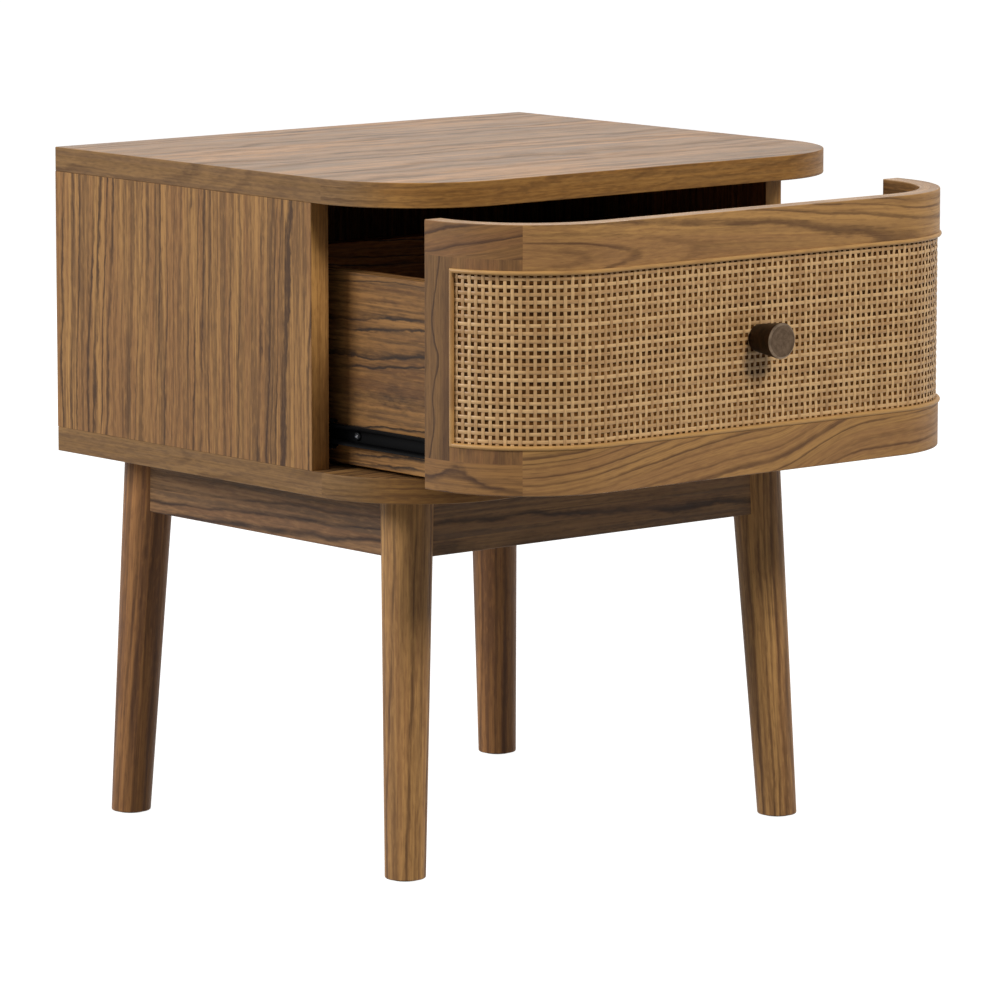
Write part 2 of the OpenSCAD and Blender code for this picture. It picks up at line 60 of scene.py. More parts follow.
# glare says whether shiny surfaces show a lamp
lamps = {
    "leftSoftbox": {"place": (-2.5, 1.05, 1.55), "size": 1.1, "power": 62, "glare": True},
    "frontSoftbox": {"place": (0.1, -2.75, 2.3), "size": 0.75, "power": 71, "glare": False},
    "overheadSoftbox": {"place": (0.1, 0.3, 2.6), "size": 2.0, "power": 18, "glare": True},
    "backFill": {"place": (1.9, 2.6, 1.25), "size": 1.4, "power": 34, "glare": False},
}

stageSetup = {
    "aim": 0.35,                 # height that the lamps point at
    "floorSize": 60,
    "ambient": 0.15,             # world light that diffuse surfaces get
    "bounce": 0.22,              # how pale the floor is to the object's undersides
    "paper": 1.0,                # the floor's own glow, as the camera sees it
}


def makeCamera():
    data = bpy.data.cameras.new("camera")
    data.lens = cameraSetup["lens"]
    data.sensor_width = cameraSetup["sensor"]
    data.clip_end = cameraSetup["farthest"]
    camera = bpy.data.objects.new("camera", data)
    camera.location = cameraSetup["place"]
    tilt = math.radians(90 - cameraSetup["pitch"])
    camera.rotation_euler = (tilt, 0, -math.radians(cameraSetup["yaw"]))
    bpy.context.scene.collection.objects.link(camera)
    bpy.context.scene.camera = camera


def makeLamps():
    target = Vector((0, 0, stageSetup["aim"]))
    for name, lamp in lamps.items():
        data = bpy.data.lights.new(name, "AREA")
        data.size = lamp["size"]
        data.energy = lamp["power"]
        thing = bpy.data.objects.new(name, data)
        thing.location = lamp["place"]
        thing.visible_glossy = lamp["glare"]
        thing.rotation_euler = (target - thing.location).to_track_quat("-Z", "Y").to_euler()
        bpy.context.scene.collection.objects.link(thing)


# shader sockets that take arithmetic

class Sock:
    def __init__(self, finish, out):
        self.finish = finish
        self.out = out

    def maths(self, operation, *values):
        return self.finish.add("ShaderNodeMath", {"operation": operation}, dict(enumerate(values)))

    def __add__(self, other):
        return self.maths("ADD", self, other)

    def __radd__(self, other):
        return self.maths("ADD", other, self)

    def __sub__(self, other):
        return self.maths("SUBTRACT", self, other)

    def __rsub__(self, other):
        return self.maths("SUBTRACT", other, self)

    def __mul__(self, other):
        return self.maths("MULTIPLY", self, other)

    def __rmul__(self, other):
        return self.maths("MULTIPLY", other, self)

    def __truediv__(self, other):
        return self.maths("DIVIDE", self, other)

    def __pow__(self, other):
        return self.maths("POWER", self, other)


class Finish:
    def __init__(self, name, tree=None):
        self.material = None
        if tree is None:
            self.material = bpy.data.materials.new(name)
            self.material.use_nodes = True
            tree = self.material.node_tree
        self.tree = tree
        self.shader = tree.nodes.get("Principled BSDF")

    def feed(self, socket, value):
        if isinstance(value, Sock):
            self.tree.links.new(value.out, socket)
        else:
            socket.default_value = value

    def add(self, kind, settings=None, sockets=None, out=0):
        node = self.tree.nodes.new(kind)
        for key, value in (settings or {}).items():
            setattr(node, key, value)
        for key, value in (sockets or {}).items():
            self.feed(node.inputs[key], value)
        if isinstance(out, tuple):
            return [Sock(self, node.outputs[o]) for o in out]
        return Sock(self, node.outputs[out])

    def vector(self, x, y, z):
        return self.add("ShaderNodeCombineXYZ", None, {0: x, 1: y, 2: z})

    def split(self, place):
        return self.add("ShaderNodeSeparateXYZ", None, {0: place}, out=(0, 1, 2))

    # what a mesh says of its faces: grain is a vector, board and share are numbers
    def attribute(self, name, out="Fac"):
        return self.add("ShaderNodeAttribute", {"attribute_name": name}, out=out)

    def bump(self, strength, distance, height):
        return self.add("ShaderNodeBump", None, {"Strength": strength, "Distance": distance,
                                                 "Height": height})

    def noise(self, place, detail=2.0, roughness=0.5):
        return self.add("ShaderNodeTexNoise", None, {"Vector": place, "Scale": 1, "Detail": detail,
                                                     "Roughness": roughness})

    def rise(self, value, low, high):
        return self.add("ShaderNodeMapRange", {"interpolation_type": "SMOOTHSTEP"},
                        {"Value": value, "From Min": low, "From Max": high})

    def blend(self, share, a, b):
        return self.add("ShaderNodeMix", {"data_type": "RGBA"}, {0: share, 6: a, 7: b}, out=2)

    def set(self, **sockets):
        for key, value in sockets.items():
            self.feed(self.shader.inputs[key.replace("_", " ")], value)


def tone(code):
    parts = [int(code[i:i + 2], 16) / 255 for i in (1, 3, 5)]
    return (*[c / 12.92 if c <= 0.04045 else ((c + 0.055) / 1.055) ** 2.4 for c in parts], 1)


# 1 where the camera, a shiny surface or glass looks, so that all three see a white studio
def lookedAt(finish):
    camera, glossy, clear = finish.add("ShaderNodeLightPath", out=("Is Camera Ray", "Is Glossy Ray",
                                                                   "Is Transmission Ray"))
    return camera.maths("MAXIMUM", camera, glossy.maths("MAXIMUM", glossy, clear))


def makeStage():
    size = stageSetup["floorSize"] / 2
    corners = [(-size, -size, 0), (size, -size, 0), (size, size, 0), (-size, size, 0)]
    mesh = bpy.data.meshes.new("floor")
    mesh.from_pydata(corners, [], [(0, 1, 2, 3)])
    floor = bpy.data.objects.new("floor", mesh)
    bpy.context.scene.collection.objects.link(floor)

    paper = Finish("floorPaper")
    grey = stageSetup["bounce"]
    paper.set(Base_Color=(grey, grey, grey, 1), Roughness=0.9, Specular_IOR_Level=0.0)
    plain = Sock(paper, paper.shader.outputs[0])
    glow = paper.add("ShaderNodeEmission", None, {"Color": (1, 1, 1, 1),
                                                  "Strength": lookedAt(paper) * stageSetup["paper"]})
    both = paper.add("ShaderNodeAddShader", None, {0: plain, 1: glow})
    paper.tree.links.new(both.out, paper.tree.nodes["Material Output"].inputs["Surface"])
    mesh.materials.append(paper.material)

    world = bpy.data.worlds.new("studio")
    world.use_nodes = True
    bpy.context.scene.world = world
    air = Finish("studio", world.node_tree)
    ambient = stageSetup["ambient"]
    strength = ambient + lookedAt(air) * (1 - ambient)
    background = world.node_tree.nodes["Background"]
    background.inputs["Color"].default_value = (1, 1, 1, 1)
    air.feed(background.inputs["Strength"], strength)


makeCamera()
makeLamps()
makeStage()
bpy.context.scene.view_settings.view_transform = "Standard"
print("camera, lamps and floor made")


# wood: u runs along the grain, and v and w across it

boardStep = 3.71                 # how far one board's noise lies from the next one's

woodScale = {                    # how many to a metre, along the grain and across it
    "wander": (4.5, 16),
    "swirl": (15, 15),
    "tremble": (55, 60),
    "ragged": (110, 300),
    "streak": (3.5, 190),
    "fibre": (14, 800),
    "band": (2.4, 40),
    "dash": (95, 520),
}

woodLook = {
    "ringGap": 8 * mm,
    "uneven": 2.2,               # how far the rings' spacing varies, in rings
    "lineShare": 0.9,            # how dark the ring lines get
    "lineWide": 0.55,            # where a line has faded out, in rings
    "lineSoft": 0.2,             # how softly a line starts and ends, in rings
    "ragged": 0.2,               # how far a line's edge frays, in rings
    "slope": 0.035,              # the cut's slope to the heart, which draws the cathedrals
    "bow": 14 * mm,              # how far the rings drift over the length of a board
    "wander": 9 * mm,
    "swirl": 4 * mm,
    "tremble": 0.8 * mm,         # how far the lines shake, a centimetre or two along
    "coarse": 1.0,               # how wide the figure is across the grain
    "short": 1.0,                # how short it is along the grain
    "streak": 0.7,
    "fibre": 0.35,
    "tick": 0.35,                # short dashes along the grain
    "pore": 0.35,
    "poreFine": 1500,            # pores across a metre of the grain
    "poreLong": 25,              # a pore's length in its widths
    "roughness": 0.5,
    "gloss": 0.25,
    "carried": False,            # for a piece carried over from CAD, with upright grain
    "carriedHeart": 0.31,        # how far off the heart of such a piece lies
    "carriedSeed": 5.3,
    "second": "",                # painted shade: tones that a piece's share attribute blends in
}


# codes are the tones of the light, the middle and the dark wood, and of its lines
def woodFinish(name, codes, **changes):
    look = dict(woodLook, **changes)
    f = Finish(name)
    if look["carried"]:
        v, w, u = f.split(f.add("ShaderNodeTexCoord", out="Object"))
        v = v + look["carriedHeart"]
        seed = look["carriedSeed"]
    else:
        u, v, w = f.split(f.attribute("grain", "Vector"))
        seed = f.attribute("board") * boardStep
    v1 = v * (1 / look["coarse"])
    w1 = w * (1 / look["coarse"]) + seed

    # noise at a scale: with shifts it keeps its size, without them it is as coarse as the look says
    def figure(scale, detail, *shifts, stretch=1.0, roughness=0.5):
        lengthwise, across = scale
        side, deep = (v, w * across) if shifts else (v1, w1 * across)
        for shift in shifts:
            deep = deep + shift
        return f.noise(f.vector(u * (lengthwise * stretch), side * across, deep), detail, roughness)

    # growth rings: their distance from the heart, bent and unevenly spaced
    bow = f.noise(f.vector(u * 2.2, seed, 0.0), 1.0) - 0.5
    depth = w + u * look["slope"] + bow * look["bow"]
    wander = figure(woodScale["wander"], 2.0, seed) - 0.5
    swirl = figure(woodScale["swirl"], 1.0, seed, 40) - 0.5
    tremble = figure(woodScale["tremble"], 1.0, seed) - 0.5
    radius = (v * v + depth * depth) ** 0.5 + wander * look["wander"] + swirl * look["swirl"]
    radius = radius + tremble * look["tremble"]
    ragged = figure(woodScale["ragged"], 2.0) - 0.5
    spread = f.noise(f.vector(radius * (0.5 / look["ringGap"]), seed, 0.0), 1.0)
    count = radius / look["ringGap"] + spread * look["uneven"] + ragged * look["ragged"]
    ring = count.maths("FLOOR", count)
    part = count - ring
    chance = f.add("ShaderNodeTexWhiteNoise", {"noise_dimensions": "1D"}, {"W": ring + seed * 9})
    fade = f.rise(f.noise(f.vector(u * 14, ring * 3.3, seed), 2.0), 0.34, 0.56)
    strength = (0.35 + 0.65 * f.rise(chance, 0.1, 0.7)) * (0.45 + 0.55 * fade)
    line = f.rise(part, 0.0, look["lineSoft"]) * f.rise(part, look["lineWide"], look["lineSoft"]) * strength

    # streaks, fibres, broad bands, short dashes and open pores
    streak = figure(woodScale["streak"], 2.0, stretch=look["short"])
    fibre = f.rise(figure(woodScale["fibre"], 2.0, seed, roughness=0.6), 0.42, 0.66)
    band = figure(woodScale["band"], 2.0, stretch=look["short"])
    dash = figure(woodScale["dash"], 2.0, stretch=1 / look["coarse"])
    fine = look["poreFine"]
    pore = f.rise(figure((fine / look["poreLong"], fine), 1.0, seed), 0.56, 0.68)

    tones = [tone(code) for code in codes.split()]
    # painted shade: the share attribute blends the darker tones in
    for k, code in enumerate(look["second"].split()):
        tones[k] = f.blend(f.attribute("share"), tones[k], tone(code))
    light, mid, dark, lined = tones
    colour = f.blend(f.rise(band * 0.6 + streak * 0.4, 0.42, 0.56), mid, light)
    colour = f.blend(f.rise(streak, 0.46, 0.62) * look["streak"], colour, dark)
    colour = f.blend(fibre * look["fibre"], colour, dark)
    colour = f.blend(f.rise(dash, 0.5, 0.3) * look["tick"], colour, light)
    colour = f.blend(f.rise(dash, 0.52, 0.7) * look["tick"], colour, dark)
    colour = f.blend(line * look["lineShare"], colour, lined)
    colour = f.blend(pore * look["pore"] * (0.35 + line), colour, lined)
    height = 1 - line * 0.5 - pore * 0.5 - fibre * 0.25
    f.set(Base_Color=colour, Normal=f.bump(0.35, 0.25 * mm, height),
          Roughness=look["roughness"] + line * 0.1 + fibre * 0.08, Specular_IOR_Level=look["gloss"])
    return f.material


finishes = {
    "panel": woodFinish("walnutPanel", "#b68852 #966c42 #573b25 #3b281d", wander=22 * mm, tremble=1.2 * mm,
        ragged=0.45, fibre=0.5, gloss=0.2),
    "top": woodFinish("walnutTop", "#ac7d4c #8f6b45 #755d45 #3f2c1e", ringGap=26 * mm, lineShare=0.3,
        lineWide=0.8, lineSoft=0.4, wander=34 * mm, swirl=34 * mm, coarse=2.2, short=1.5, streak=0.85,
        tick=0.4, fibre=0.6, pore=1.35, poreFine=950, roughness=0.4, gloss=0.34),
    # the edge band: its sideways-facing parts are painted darker and greyer, as shade
    "edge": woodFinish("walnutEdge", "#ac7d42 #8e6332 #6a4a2a #5f4026", ringGap=3.6 * mm, lineShare=0.45,
        tick=0.45, ragged=0.5, coarse=0.8, streak=0.5, second="#906c41 #7a5930 #5a3f26 #48301f"),
    # painted light: a lighter copy of the panel's tones for the side panels' edges, which lie in shade
    "litSideBand": woodFinish("walnutSideBandLit", "#cc9857 #a87a45 #7a542e #5a3b22"),
    "rim": woodFinish("walnutRim", "#b18c64 #9c7954 #7f6144 #664c38", ringGap=4 * mm, lineShare=0.4,
        roughness=0.42, gloss=0.4),
    "front": woodFinish("walnutFront", "#b68951 #9c7246 #7d5a39 #462e22", ringGap=6.2 * mm, lineWide=0.5,
        lineSoft=0.18, lineShare=0.75, wander=10 * mm, streak=0.4),
    "corner": woodFinish("walnutCorner", "#9b7143 #855e3b #64472f #3f2b21", lineShare=0.85,
        ringGap=10 * mm, lineWide=0.4, lineSoft=0.12, streak=0.5, swirl=24 * mm, gloss=0.2),
    "stile": woodFinish("walnutStile", "#83603a #704f32 #533a27 #36241b", lineShare=0.9, ringGap=9 * mm,
        lineWide=0.45, lineSoft=0.12, streak=0.5, wander=14 * mm, swirl=30 * mm, gloss=0.2),
    "leg": woodFinish("walnutLeg", "#c9985c #a37648 #765232 #4b3122", ringGap=6.5 * mm, wander=8 * mm,
        lineSoft=0.25, lineWide=0.68, lineShare=0.72),
    # painted shade: a darker copy of the leg's tones for the rear legs, which stand in the shade under the
    # case
    "rearLeg": woodFinish("walnutRearLegShaded", "#ae7a48 #885f38 #5f3e29 #41291b", ringGap=6.5 * mm,
        wander=8 * mm, lineSoft=0.3, lineWide=0.75, lineShare=0.6),
    "rail": woodFinish("walnutRail", "#a37b51 #7e5a3b #4d3726 #2b1c14", ringGap=7.5 * mm, lineWide=0.5),
    # the recess floor behind the cane: stained dark, and painted darker still to stand in for the shade in
    # the weave's holes
    "recess": woodFinish("walnutRecessStainAndShade", "#7a4e25 #603a19 #462b12 #36200f", roughness=0.8, gloss=0.05),
    "inner": woodFinish("walnutInner", "#a87b4e #89633f #573d29 #33241a", roughness=0.7, lineShare=0.6),
    "box": woodFinish("walnutBox", "#a07340 #704c2a #432c19 #1b100a", ringGap=5 * mm, lineWide=0.5,
        lineSoft=0.15, lineShare=0.95, wander=12 * mm, tremble=1.4 * mm, ragged=0.4),
    "beech": woodFinish("beech", "#c9a473 #bd9663 #a58052 #97724a", lineShare=0.4, ringGap=3 * mm,
        carried=True),
    "plywood": woodFinish("plywood", "#8f6a43 #836039 #6c4d2f #553b26", ringGap=5 * mm, lineShare=0.6),
}


metalLook = {
    "metallic": 1.0,
    "roughness": 0.34,
    "spread": 0.25,              # how far the roughness varies
    "clouds": 90,                # to a metre
    "grains": 1400,
    "shade": 0.72,               # the darkest tone's share of the lightest
    "gloss": 0.5,
}


def metalFinish(name, colour, **changes):
    look = dict(metalLook, **changes)
    f = Finish(name)
    place = f.split(f.add("ShaderNodeTexCoord", out="Object"))
    cloud = f.noise(f.vector(*[p * look["clouds"] for p in place]), 3.0, 0.6)
    grain = f.noise(f.vector(*[p * look["grains"] for p in place]), 2.0)
    shade = f.rise(cloud * 0.6 + grain * 0.4, 0.3, 0.7)
    dark = tuple(c * look["shade"] for c in tone(colour)[:3]) + (1,)
    f.set(Base_Color=f.blend(shade, dark, tone(colour)), Metallic=look["metallic"],
          Roughness=look["roughness"] + (grain - 0.5) * look["spread"],
          Normal=f.bump(0.15, 0.05 * mm, grain), Specular_IOR_Level=look["gloss"])
    return f.material


def bronzeFinish(name, dark, light):
    f = Finish(name)
    u, v, w = f.split(f.attribute("grain", "Vector"))
    brushed = f.noise(f.vector(u * 2.0, v * 2600, w * 2600), 3.0, 0.65)
    patina = f.noise(f.vector(u * 1.3, v * 240, w * 160), 3.0, 0.6)
    rubbed = f.rise(patina * 0.7 + brushed * 0.3, 0.36, 0.64)
    colour = f.blend(rubbed, tone(dark), tone(light))
    f.set(Base_Color=colour, Metallic=0.85, Roughness=0.36 + brushed * 0.16,
          Normal=f.bump(0.3, 0.04 * mm, brushed))
    return f.material


def caneFinish(name, light, mid, dark, roughness):
    f = Finish(name)
    u, v, _ = f.split(f.attribute("grain", "Vector"))
    board = f.attribute("board")
    seed = board * boardStep
    patch = f.noise(f.vector(u * 38, v * 120, seed), 2.0)
    fibre = f.noise(f.vector(u * 60, v * 2600, seed), 2.0, 0.6)
    chance = f.add("ShaderNodeTexWhiteNoise", {"noise_dimensions": "1D"}, {"W": board})
    colour = f.blend(f.rise(patch * 0.7 + chance * 0.3, 0.3, 0.62), tone(mid), tone(light))
    colour = f.blend(f.rise(fibre, 0.5, 0.72) * 0.4, colour, tone(dark))
    knot = f.rise(f.noise(f.vector(u * 22, 0.0, seed), 1.0), 0.68, 0.74) * 0.35
    colour = f.blend(knot, colour, tone(dark))
    f.set(Base_Color=colour, Roughness=roughness + fibre * 0.15, Normal=f.bump(0.3, 0.08 * mm, fibre))
    return f.material


finishes.update({
    "zinc": metalFinish("zincPlate", "#cdced1"),
    "blackSteel": metalFinish("blackSteel", "#030304", metallic=0.0, roughness=0.6, spread=0.2,
                              grains=2200, gloss=0.06),
    "blackScrew": metalFinish("blackScrew", "#1b1b1d", metallic=0.6, roughness=0.5, spread=0.2,
                              grains=1800, gloss=0.2),
    "balls": metalFinish("bearingSteel", "#dcdcde", roughness=0.12, spread=0.05, grains=900),
    "nylon": metalFinish("nylon", "#3a3029", metallic=0.0, roughness=0.55, spread=0.2, grains=1600),
    "bronze": bronzeFinish("darkBronze", "#4c3b2b", "#655240"),
    # painted highlight: the knob's bevel takes lighter tones than its face, so that it shows a bright ring
    "bronzeHighlightEdge": bronzeFinish("bronzeEdgePaintedHighlight", "#5a4a3b", "#85725e"),
    "bronzeSide": bronzeFinish("darkBronzeSide", "#1a110a", "#3a2718"),
    "cane": caneFinish("caneWebbing", "#d3aa76", "#ad8454", "#74502d", 0.4),
    "reed": caneFinish("reedBorder", "#b68a50", "#966c3b", "#6e4926", 0.44),
})
print("finishes made")


# meshes with a grain direction

class Shape:
    def __init__(self):
        self.points = []
        self.faces = []
        self.grains = []
        self.boards = []
        self.finishes = []
        self.shares = []

    def add(self, points):
        first = len(self.points)
        self.points += [tuple(p) for p in points]
        return list(range(first, len(self.points)))

    # grains holds u, v and w at each corner
    def face(self, corners, grains, board, finish=0, share=0.0):
        kept = [i for i, c in enumerate(corners) if self.points[c] != self.points[corners[i - 1]]]
        if len(kept) > 2:
            self.faces.append([corners[i] for i in kept])
            self.grains += [grains[i] for i in kept]
            self.boards.append(board)
            self.finishes.append(finish)
            self.shares.append(share)

    def build(self, name, finishNames, body, stands, slot, sharp=40):
        weld = {}
        places = []
        for p in self.points:
            key = tuple(round(c, 7) for c in p)
            if key not in weld:
                weld[key] = len(weld)
            places.append(weld[key])
        mesh = bpy.data.meshes.new(name)
        mesh.from_pydata(list(weld), [], [[places[c] for c in face] for face in self.faces])
        grain = mesh.attributes.new("grain", "FLOAT_VECTOR", "CORNER")
        grain.data.foreach_set("vector", [c for g in self.grains for c in g])
        for kind, values in (("board", self.boards), ("share", self.shares)):
            mesh.attributes.new(kind, "FLOAT", "FACE").data.foreach_set("value", values)
        for finish in finishNames:
            mesh.materials.append(finishes[finish])
        mesh.polygons.foreach_set("material_index", self.finishes)
        mesh.shade_smooth()
        mesh.set_sharp_from_angle(angle=math.radians(sharp))
        mesh.validate()
        piece = bpy.data.objects.new(name, mesh)
        bpy.context.scene.collection.objects.link(piece)
        normals = piece.modifiers.new("normals", "WEIGHTED_NORMAL")
        normals.keep_sharp = True
        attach(piece, body)
        if stands:
            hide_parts(*stands)
        return piece


cornerSteps = 350                # faces round a plan's corner, to each metre of its radius
roundSteps = 3                   # faces round an eased edge
quarter = [math.pi / 2 * k / roundSteps for k in range(roundSteps + 1)]


def turned(count):
    return [2 * math.pi * t / count for t in range(count)]


# the faces between rings: the lower ring's number, two neighbours' numbers and the four corners
def bands(rings):
    for k, (lower, upper) in enumerate(zip(rings, rings[1:])):
        for i in range(len(lower)):
            j = (i + 1) % len(lower)
            yield k, i, j, [lower[i], lower[j], upper[j], upper[i]]


# a plan with rounded corners, from each corner's place and radius
def outline(corners):
    points = []
    for i, (x, y, radius) in enumerate(corners):
        here = Vector((x, y))
        before = (Vector(corners[i - 1][:2]) - here).normalized()
        after = (Vector(corners[(i + 1) % len(corners)][:2]) - here).normalized()
        if radius == 0:
            points.append(here)
            continue
        turn = before.angle(after)
        centre = here + (before + after).normalized() * (radius / math.sin(turn / 2))
        start = here + before * (radius / math.tan(turn / 2)) - centre
        end = here + after * (radius / math.tan(turn / 2)) - centre
        sweep = math.atan2(start.x * end.y - start.y * end.x, start.dot(end))
        steps = 3 + int(radius * cornerSteps)
        for k in range(steps + 1):
            a = sweep * k / steps
            points.append(centre + Vector((start.x * math.cos(a) - start.y * math.sin(a),
                                           start.x * math.sin(a) + start.y * math.cos(a))))
    return points


def rectangle(x0, y0, x1, y1, corner=0):
    return outline([(x0, y0, corner), (x1, y0, corner), (x1, y1, corner), (x0, y1, corner)])


# a plan drawn in, with no corner pushed out far
def shrunk(points, inset):
    moved = []
    for i, p in enumerate(points):
        a = (p - points[i - 1]).normalized()
        b = (points[(i + 1) % len(points)] - p).normalized()
        n = Vector((-a.y - b.y, a.x + b.x)).normalized()
        moved.append(p + n * (inset / max(0.3, n.dot(Vector((-a.y, a.x))))))
    return moved


def smooth(value, low, high):
    share = min(max((value - low) / (high - low), 0), 1)
    return share * share * (3 - 2 * share)


# how far in and how high each ring of an eased piece lies
def easing(ease, low, high):
    bottom = [(ease * (1 - math.sin(a)), low + ease * (1 - math.cos(a))) for a in quarter]
    return bottom + [(inset, high + low - z) for inset, z in reversed(bottom)]


# an upright-walled piece: walls, top and bottom each take a rule that gives the grain at a point
def slab(points, low, high, ease, wall, top=None, bottom=None):
    shape = Shape()
    away = [0]
    for i, p in enumerate(points):
        away.append(away[-1] + (points[(i + 1) % len(points)] - p).length)
    rings = []
    for inset, z in easing(ease, low, high):
        moved = shrunk(points, inset) if inset > 1e-9 else points
        rings.append(shape.add([(p.x, p.y, z) for p in moved]))
    for _, i, j, corners in bands(rings):
        run = points[j] - points[i]
        normal = Vector((run.y, -run.x)).normalized()
        grains = [wall(shape.points[c], s, normal) for c, s in
                  zip(corners, (away[i], away[i + 1], away[i + 1], away[i]))]
        shape.face(corners, [g[0] for g in grains], *grains[0][1:])
    for ring, rule in ((rings[-1], top or wall), (rings[0][::-1], bottom or wall)):
        grains = [rule(shape.points[c]) for c in ring]
        shape.face(ring, [g[0] for g in grains], grains[0][1], grains[0][2])
    return shape


# grain along an axis, from a heart line that lies off the piece; each board number has its own figure
def along(letter, heart, board, finish=0):
    axis = "xyz".index(letter)
    others = [i for i in range(3) if i != axis]

    def rule(point, *_):
        grain = (point[axis], point[others[0]] - heart[0], point[others[1]] - heart[1])
        return grain, board, finish
    return rule


def panelBox(name):
    low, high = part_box(name)
    return low.x, low.y, low.z, high.x, high.y, high.z


caseShape = {
    "cornerRadius": 87 * mm,
    "ease": 0.7 * mm,
    "rearCorner": 1.2 * mm,
    "sideCorner": 0.8 * mm,      # on the side panels' upright edges
    "panelEase": 0.1 * mm,       # on edges that lie against another piece
    "bandShadeTurn": (0.72, 0.98),    # sideways part of the wall's direction where the edge band's painted shade sets in
    "bandHeart": (0.02, 0.01),
    "slabHearts": [(0.02, -0.03), (0.1, -0.05)],     # from the middle, and from the upper or lower face
    "sideHearts": [(0.1, -0.32), (0.22, -0.3), (0.3, -0.4)],     # outer face, edges and inner face
    "backHeart": (0.3, 0.4),
    "facing": 0.7,               # a wall counts as a face when this much of its direction is outward
}


# grain that runs round the edge of a slab, with a share that paints shade on its sideways parts
def edgeBand(low, board, finish):
    height, depth = caseShape["bandHeart"]

    def rule(point, s, normal):
        # painted shade: the share grows as the wall turns to face sideways
        share = smooth(abs(normal.x), *caseShape["bandShadeTurn"])
        return (s, point[2] - low - height, depth), board, finish, share
    return rule


def makeSlabs():
    r = caseShape["cornerRadius"]
    small = caseShape["rearCorner"]
    (middle, over), (lowerMiddle, under) = caseShape["slabHearts"]
    for name, board, topFinish in (("top_panel", 1, "top"), ("bottom_panel", 2, "panel")):
        x0, y0, z0, x1, y1, z1 = panelBox(name)
        plan = outline([(x0, y0, r), (x1, y0, r), (x1, y1, small), (x0, y1, small)])
        shape = slab(plan, z0, z1, caseShape["ease"], edgeBand(z0, board + 0.5, 1),
                     along("x", (middle, z1 + over), board),
                     along("x", (lowerMiddle, z0 + under), board + 0.2, 2))
        underside = "inner" if name == "top_panel" else "rail"
        shape.build(name + "_wood", [topFinish, "edge", underside], "case", [name], "walnut_veneer")


def makeSides():
    ease = caseShape["panelEase"]
    facing = caseShape["facing"]
    for side, name in ((-1, "side_panel_left"), (1, "side_panel_right")):
        x0, y0, z0, x1, y1, z1 = panelBox(name)
        plan = rectangle(x0, y0, x1, y1, caseShape["sideCorner"])
        outer, band, inner = [along("z", (side * x, y), 3 + k + side * 0.3, k)
                              for k, (x, y) in enumerate(caseShape["sideHearts"])]

        def wall(point, s, normal):
            if normal.x * side > facing:
                return outer(point)
            return inner(point) if normal.x * side < -facing else band(point)
        shape = slab(plan, z0, z1, ease, wall, band, band)
        # the side panels' edges take the lighter copy of the panel's tones: painted light
        shape.build(name + "_wood", ["panel", "litSideBand", "inner"], "case", [name], "walnut_veneer")
    x0, y0, z0, x1, y1, z1 = panelBox("back_panel")
    outside = along("z", caseShape["backHeart"], 7)
    inside = along("z", caseShape["backHeart"], 7, 1)

    def backWall(point, s, normal):
        return inside(point) if normal.y < -facing else outside(point)
    shape = slab(rectangle(x0, y0, x1, y1), z0, z1, ease, backWall, outside, outside)
    shape.build("back_panel_wood", ["rail", "inner"], "case", ["back_panel"], "dark_walnut")


# base

legShape = {
    "footEase": 1.2 * mm,
    "turns": 48,
    "rows": 14,
    "level": 0.01 * mm,          # how flat an end's ring is
    "hearts": [(-0.0115, -0.004), (-0.06, 0.03), (-0.0115, -0.006), (-0.065, 0.038)],
}

railShape = {
    "thick": 18 * mm,
    "ease": 0.8 * mm,
    "hearts": {"x": (0.09, 0.2), "y": (-0.12, 0.2)},     # by the way that a rail runs
}


def makeLegs():
    for k, name in enumerate(("leg_front_left", "leg_front_right", "leg_rear_left", "leg_rear_right")):
        points = [v.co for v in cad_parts[name].data.vertices]
        z0 = min(p.z for p in points)
        z1 = max(p.z for p in points)
        circles = []
        for z in (z0, z1):
            level = [p for p in points if abs(p.z - z) < legShape["level"]]
            low = Vector((min(p.x for p in level), min(p.y for p in level)))
            high = Vector((max(p.x for p in level), max(p.y for p in level)))
            circles.append(((low + high) / 2, (high.x - low.x) / 2))
        (foot, footRadius), (head, headRadius) = circles
        shape = Shape()
        rows = legShape["rows"]
        levels = easing(legShape["footEase"], z0, z1)[:roundSteps + 1]
        levels += [(0, z0 + (z1 - z0) * i / rows) for i in range(1, rows + 1)]
        rings = []
        for inset, z in levels:
            share = (z - z0) / (z1 - z0)
            centre = foot.lerp(head, share)
            radius = footRadius + (headRadius - footRadius) * share - inset
            rings.append(shape.add([(centre.x + radius * math.cos(a), centre.y + radius * math.sin(a), z)
                                    for a in turned(legShape["turns"])]))
        heart = legShape["hearts"][k]

        def rule(point):
            share = (point[2] - z0) / (z1 - z0)
            centre = foot.lerp(head, share)
            return (point[2], point[0] - centre.x - heart[0], point[1] - centre.y - heart[1])
        ends = [rings[0][::-1], rings[-1]]
        for corners in [corners for *_, corners in bands(rings)] + ends:
            shape.face(corners, [rule(shape.points[c]) for c in corners], 10 + k)
        # the rear legs take the darker copy: painted shade
        finish = "rearLeg" if "rear" in name else "leg"
        shape.build(name + "_wood", [finish], "case", [name], "dark_walnut")


def makeRails():
    for k, name in enumerate(("front_rail", "rear_rail", "left_rail", "right_rail")):
        x0, y0, z0, x1, y1, z1 = panelBox(name)
        runs = "x" if name in ("front_rail", "rear_rail") else "y"
        thick = railShape["thick"]
        if runs == "x":
            y0, y1 = (y0, y0 + thick) if name == "front_rail" else (y1 - thick, y1)
        else:
            x0, x1 = (x0, x0 + thick) if name == "left_rail" else (x1 - thick, x1)
        grain = along(runs, railShape["hearts"][runs], 20 + k)
        shape = slab(rectangle(x0, y0, x1, y1), z0, z1, railShape["ease"], grain)
        shape.build(name + "_wood", ["rail"], "case", [name], "dark_walnut")


makeSlabs()
makeSides()
makeLegs()
makeRails()
print("case and base made")


# drawer

